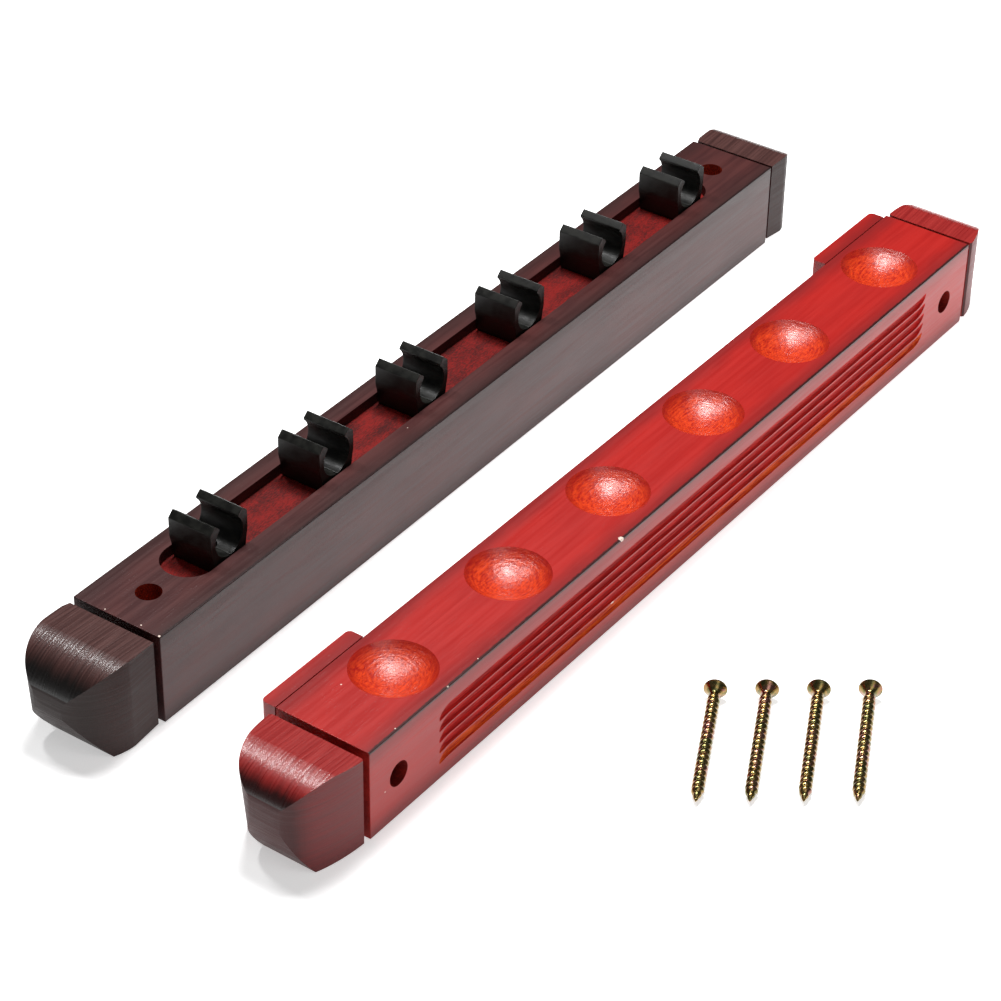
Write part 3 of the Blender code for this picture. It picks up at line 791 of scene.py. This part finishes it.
def screw_mesh(length, crest, core, head, drop, dome, pitch, point, sides, rings_per_turn):
    """A threaded screw along +Z, tip at the origin, with a countersunk head."""
    shape = bmesh.new()
    shoulder = length - dome
    neck = shoulder - drop
    count = int(neck / pitch * rings_per_turn)
    levels = [neck * i / count for i in range(count + 1)]
    rings = []
    for z in levels:
        taper = min(1.0, (z + 0.0002) / point) ** 0.75
        fade = min(1.0, (neck - z) / pitch)
        ring = []
        for i in range(sides):
            turn = i / sides
            phase = (z / pitch - turn) % 1.0
            ridge = math.sin(math.pi * phase) ** 0.7
            radius = (core + (crest - core) * ridge * fade) * taper
            ring.append(shape.verts.new((radius * math.cos(2 * math.pi * turn),
                                         radius * math.sin(2 * math.pi * turn), z)))
        rings.append(ring)
    cone = [(core + (head - core) * share**1.25, neck + (drop - HEAD_RIM) * share)
            for share in (0.2, 0.4, 0.6, 0.8, 1.0)]
    cap = [(head * math.cos(a), shoulder + dome * math.sin(a)) for a in (0.0, 0.35, 0.7, 1.0, 1.25, 1.45)]
    turns = [2 * math.pi * i / sides for i in range(sides)]
    for radius, z in cone + cap:
        rings.append([shape.verts.new((radius * math.cos(turn), radius * math.sin(turn), z))
                      for turn in turns])
    bridge(shape, rings)
    shape.faces.new(rings[0][::-1])
    shape.faces.new(rings[-1])
    return mesh_of(shape)


def cross_recess(screw, length, reach, width, depth):
    """A cross cut into the head, tapering as a driver's tip does."""
    for across, along in ((reach, width), (width, reach)):
        tool = bmesh.new()
        bmesh.ops.create_cube(tool, size=1.0)
        for vertex in tool.verts:
            taper = 1.0 if vertex.co.z > 0 else 0.35
            vertex.co.x *= 2 * across * (taper if across == reach else 0.8)
            vertex.co.y *= 2 * along * (taper if along == reach else 0.8)
            vertex.co.z = length + 0.001 if vertex.co.z > 0 else length - depth
        carve(screw, [mesh_of(tool)])


def mounting_screw(number, material):
    """A screw lying with its head's rim and its point on the floor, along its node's box."""
    node = f"mounting_screw_{number}"
    low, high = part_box(node)
    length, crest, head, point = (MOUNTING_SCREW[key] for key in ("length", "crest", "head", "point"))
    shoulder = length - MOUNTING_SCREW["dome"]
    droop = math.asin((head - crest) / (shoulder - point))
    turn = Matrix.Rotation(SCREW_HEADING, 4, "Z") @ Matrix.Rotation(math.pi / 2 - droop, 4, "Y")
    axis = turn @ Vector((0.0, 0.0, 1.0))
    tip = Vector((high.x - head * math.sin(SCREW_HEADING) - shoulder * axis.x,
                  high.y - head * math.cos(SCREW_HEADING) - shoulder * axis.y,
                  low.z + crest * math.cos(droop) - point * math.sin(droop)))
    spin = Matrix.Rotation(0.7 * number, 4, "Z")
    screw = new_object(node + "_threaded", screw_mesh(**MOUNTING_SCREW, sides=40, rings_per_turn=14),
                       Matrix.Translation(tip) @ turn @ spin)
    cross_recess(screw, length, 0.0032, 0.0006, 0.0030)
    screw.data.transform(screw.matrix_world)
    screw.matrix_world = Matrix.Identity(4)
    smooth(screw, 40.0)
    paint(screw, {"zinc": material}, lambda centre, normal: "zinc")
    finish_piece(screw, node, "yellow_zinc", node)


def clip_screw(number, centre, material):
    node = f"clip_screw_{number}"
    length = CLIP_SCREW["length"]
    place = Matrix.Translation(centre + Vector((0.0, 0.0, SINK_TOP - length)))
    mesh = screw_mesh(**CLIP_SCREW, sides=28, rings_per_turn=8)
    screw = new_object(node + "_threaded", mesh, place @ Matrix.Rotation(0.4 * number, 4, "Z"))
    cross_recess(screw, length, 0.0019, 0.00035, 0.0013)
    smooth(screw, 40.0)
    paint(screw, {"steel": material}, lambda middle, normal: "steel")
    finish_piece(screw, "clip_rail", "dark_steel", node)


# Floor, lights and camera


def floor():
    shape = bmesh.new()
    bmesh.ops.create_grid(shape, x_segments=1, y_segments=1, size=4.0)
    plane = new_object("floor", mesh_of(shape), Matrix.Translation((0.0, 0.0, -0.0002)))
    shader = Shader("floor_paper", roughness=0.9)
    shader.colour((0.90, 0.90, 0.90, 1.0))
    x = shader.split(shader.coords)[0]
    shader.surface.inputs["Emission Color"].default_value = (1.0, 1.0, 1.0, 1.0)
    glow = shader.spread(x, -0.45, 0.40, 0.42, 0.95)
    shader.feed(shader.surface.inputs["Emission Strength"], glow)
    plane.data.materials.append(shader.material)


def aimed(place, target=(0.0, 0.0, 0.02)):
    """A rotation that points an object's -Z axis from a place to a target."""
    return (Vector(target) - Vector(place)).to_track_quat("-Z", "Y").to_matrix().to_4x4()


def area_light(name, azimuth, elevation, distance, size, power):
    """A soft box; azimuth 0 is on the -Y side, and turns towards +X."""
    az, el = math.radians(azimuth), math.radians(elevation)
    place = (distance * math.cos(el) * math.sin(az), -distance * math.cos(el) * math.cos(az),
             distance * math.sin(el))
    data = bpy.data.lights.new(name, "AREA")
    data.shape = "RECTANGLE"
    data.size, data.size_y = size
    data.energy = power
    light = bpy.data.objects.new(name, data)
    bpy.context.scene.collection.objects.link(light)
    light.matrix_world = Matrix.Translation(place) @ aimed(place)


def studio():
    world = bpy.data.worlds.new("studio")
    bpy.context.scene.world = world
    world.use_nodes = True
    backdrop = world.node_tree.nodes["Background"]
    backdrop.inputs["Color"].default_value = (1.0, 1.0, 1.0, 1.0)
    backdrop.inputs["Strength"].default_value = 0.10
    area_light("key", 132.0, 77.0, 1.6, (0.42, 0.42), 26.0)
    area_light("rim", 182.0, 61.0, 1.8, (0.20, 0.20), 8.0)
    area_light("fill", -30.0, 55.0, 2.0, (1.0, 1.0), 5.0)
    bpy.context.scene.view_settings.view_transform = "Standard"


def camera():
    data = bpy.data.cameras.new("camera")
    data.lens = LENS
    data.sensor_width = SENSOR
    data.clip_start = 0.05
    eye = bpy.data.objects.new("camera", data)
    bpy.context.scene.collection.objects.link(eye)
    turn = Matrix((CAMERA_RIGHT, -CAMERA_DOWN, -CAMERA_AHEAD)).transposed().to_4x4()
    eye.matrix_world = Matrix.Translation(CAMERA_PLACE) @ turn
    bpy.context.scene.camera = eye


def clip_places():
    """Where each clip's middle is along the rail, from its base's box."""
    boxes = [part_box(f"clip_base_{i + 1}") for i in range(CLIP_COUNT)]
    return [(low.x + high.x) / 2 - CLIP_RAIL_LOW.x for low, high in boxes]


CLIP_PLACES = clip_places()

# Near and far are the caps' lengths, and the tip is in shares of the depth and the height. For each side
# of a cap: the share of its length that is straight, then how fast and how bluntly it rounds off.
CAP_SHAPES = {
    "clip_rail": {
        "near": 0.0422, "far": 0.0305, "tip": (0.51, 0.49),
        "top": (0.43, 1.62, 2.55), "underside": (0.67, 1.0, 1.38),
        "front": (0.40, 1.63, 2.53), "back": (0.10, 2.67, 3.44),
    },
    "base_rail": {
        "near": 0.0378, "far": 0.0272, "tip": (0.45, 0.60),
        "top": (0.42, 1.63, 3.13), "underside": (0.71, 1.0, 1.97),
        "front": (0.0, 1.40, 3.16), "back": (0.0, 1.94, 3.42),
    },
}


def build():
    camera()
    studio()
    floor()
    # The third colour of each stained wood is the painted shade along its long edges.
    dark = {
        "dark_wood": stained_wood("dark_wood", srgb(78, 36, 34), srgb(62, 28, 28), srgb(46, 23, 22),
                                  0.42, 0.15, 0.32, CLIP_RAIL_CHIPS),
        "channel": raw_wood("channel_wood", srgb(128, 18, 14), srgb(66, 8, 8)),
        "dark_neck": raw_wood("dark_neck_wood", srgb(66, 20, 18), srgb(38, 10, 10)),
        "dark_hole": raw_wood("dark_hole_wood", srgb(170, 50, 20), srgb(100, 18, 10)),
    }
    red = {
        "red_wood": stained_wood("red_wood", srgb(176, 28, 22), srgb(164, 24, 20), srgb(112, 22, 24),
                                 0.40, 0.15, 0.30, BASE_RAIL_CHIPS),
        "cup": cup_wood(),
        "flute": flute_wood(),
        "red_hole": raw_wood("red_hole_wood", srgb(150, 30, 20), srgb(90, 14, 10)),
        "red_neck": raw_wood("red_neck_wood", srgb(176, 36, 26), srgb(128, 16, 12)),
    }
    clip_rail(dark)
    base_rail(red)
    across_y, across_z = (25.0, 1100.0, 25.0), (25.0, 25.0, 1100.0)
    # Each cap's third colour is its end grain, darkened further by painted shade.
    dark_cap = {
        "round": brushed_wood("dark_cap_wood", srgb(84, 50, 46), srgb(58, 32, 30), srgb(10, 6, 5),
                              0.34, 0.35, 0.4, across_y),
        "front": brushed_wood("dark_cap_front_wood", srgb(54, 34, 32), srgb(44, 27, 25), srgb(40, 28, 26),
                              0.50, 0.0, 0.25, across_z),
        "neck": dark["dark_neck"],
    }
    red_cap = {
        "round": brushed_wood("red_cap_wood", srgb(160, 34, 30), srgb(134, 22, 22), srgb(38, 4, 4),
                              0.32, 0.45, 0.4, across_y),
        "front": brushed_wood("red_cap_front_wood", srgb(118, 38, 38), srgb(100, 30, 31), srgb(66, 22, 22),
                              0.48, 0.05, 0.3, across_z),
        "neck": red["red_neck"],
    }
    for prefix, place, slot, finish in (("clip_rail", CLIP_FRAME, "dark_wood", dark_cap),
                                        ("base_rail", BASE_FRAME, "red_wood", red_cap)):
        shape = CAP_SHAPES[prefix]
        for end, face, out in (("near", 0.0, -1), ("far", LENGTH, 1)):
            end_cap(f"{prefix}_cap_{end}", prefix, place, face, out, shape, finish, slot)
    block = {"block": red["red_wood"]}
    stand_off("stand_off_near", 0.0, BASE_RAIL_HOLES[0], block)
    stand_off("stand_off_far", FAR_BLOCK_START, BASE_RAIL_HOLES[1], block)
    plastic, steel, zinc = black_plastic(), plain_steel(), yellow_zinc()
    for number, x in enumerate(CLIP_PLACES, 1):
        centre = CLIP_RAIL_LOW + Vector((x, CHANNEL_CENTRE, HEIGHT))
        for end, side in (("near", -1), ("far", 1)):
            clip_half(number, end, side, centre, plastic)
        clip_screw(number, centre, steel)
    for number in range(1, 5):
        mounting_screw(number, zinc)


build()
